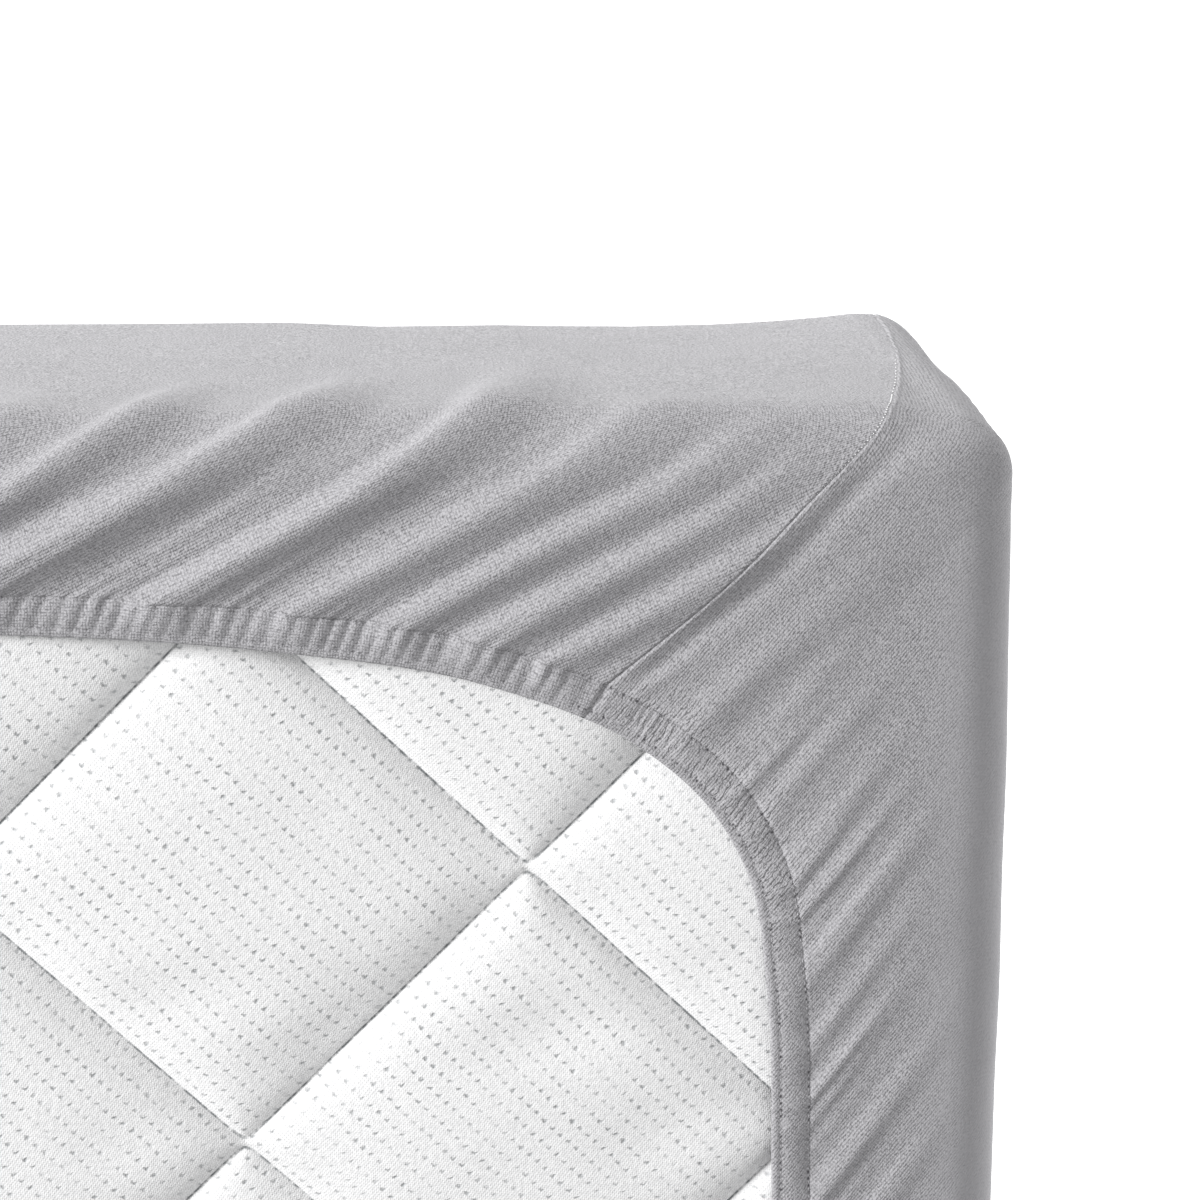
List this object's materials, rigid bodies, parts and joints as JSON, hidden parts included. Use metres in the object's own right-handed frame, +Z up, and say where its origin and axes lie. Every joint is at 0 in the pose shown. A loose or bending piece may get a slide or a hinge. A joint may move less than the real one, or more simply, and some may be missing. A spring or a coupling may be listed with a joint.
{
  "type": "fitted sheet on a cot mattress",
  "caption": "Grey jersey fitted sheet stretched over a cot mattress lying on its sleeping face, with its flap and gathered elastic hem turned in over the quilted underside.",
  "frame": {"origin": "middle of the sleeping face, on the surface that it lies on", "axes": "+X across the mattress's width, +Y along its length, +Z up toward the hem and the quilted underside"},
  "size_m": [0.7005, 1.328, 0.1562],
  "materials": {
    "grey_jersey": "matt, finely ribbed single jersey knit",
    "white_ticking": "matt quilted knit with fine dimples"
  },
  "bodies": {
    "root": {"fitted_sheet": "grey_jersey", "mattress": "white_ticking"}
  },
  "joints": []
}
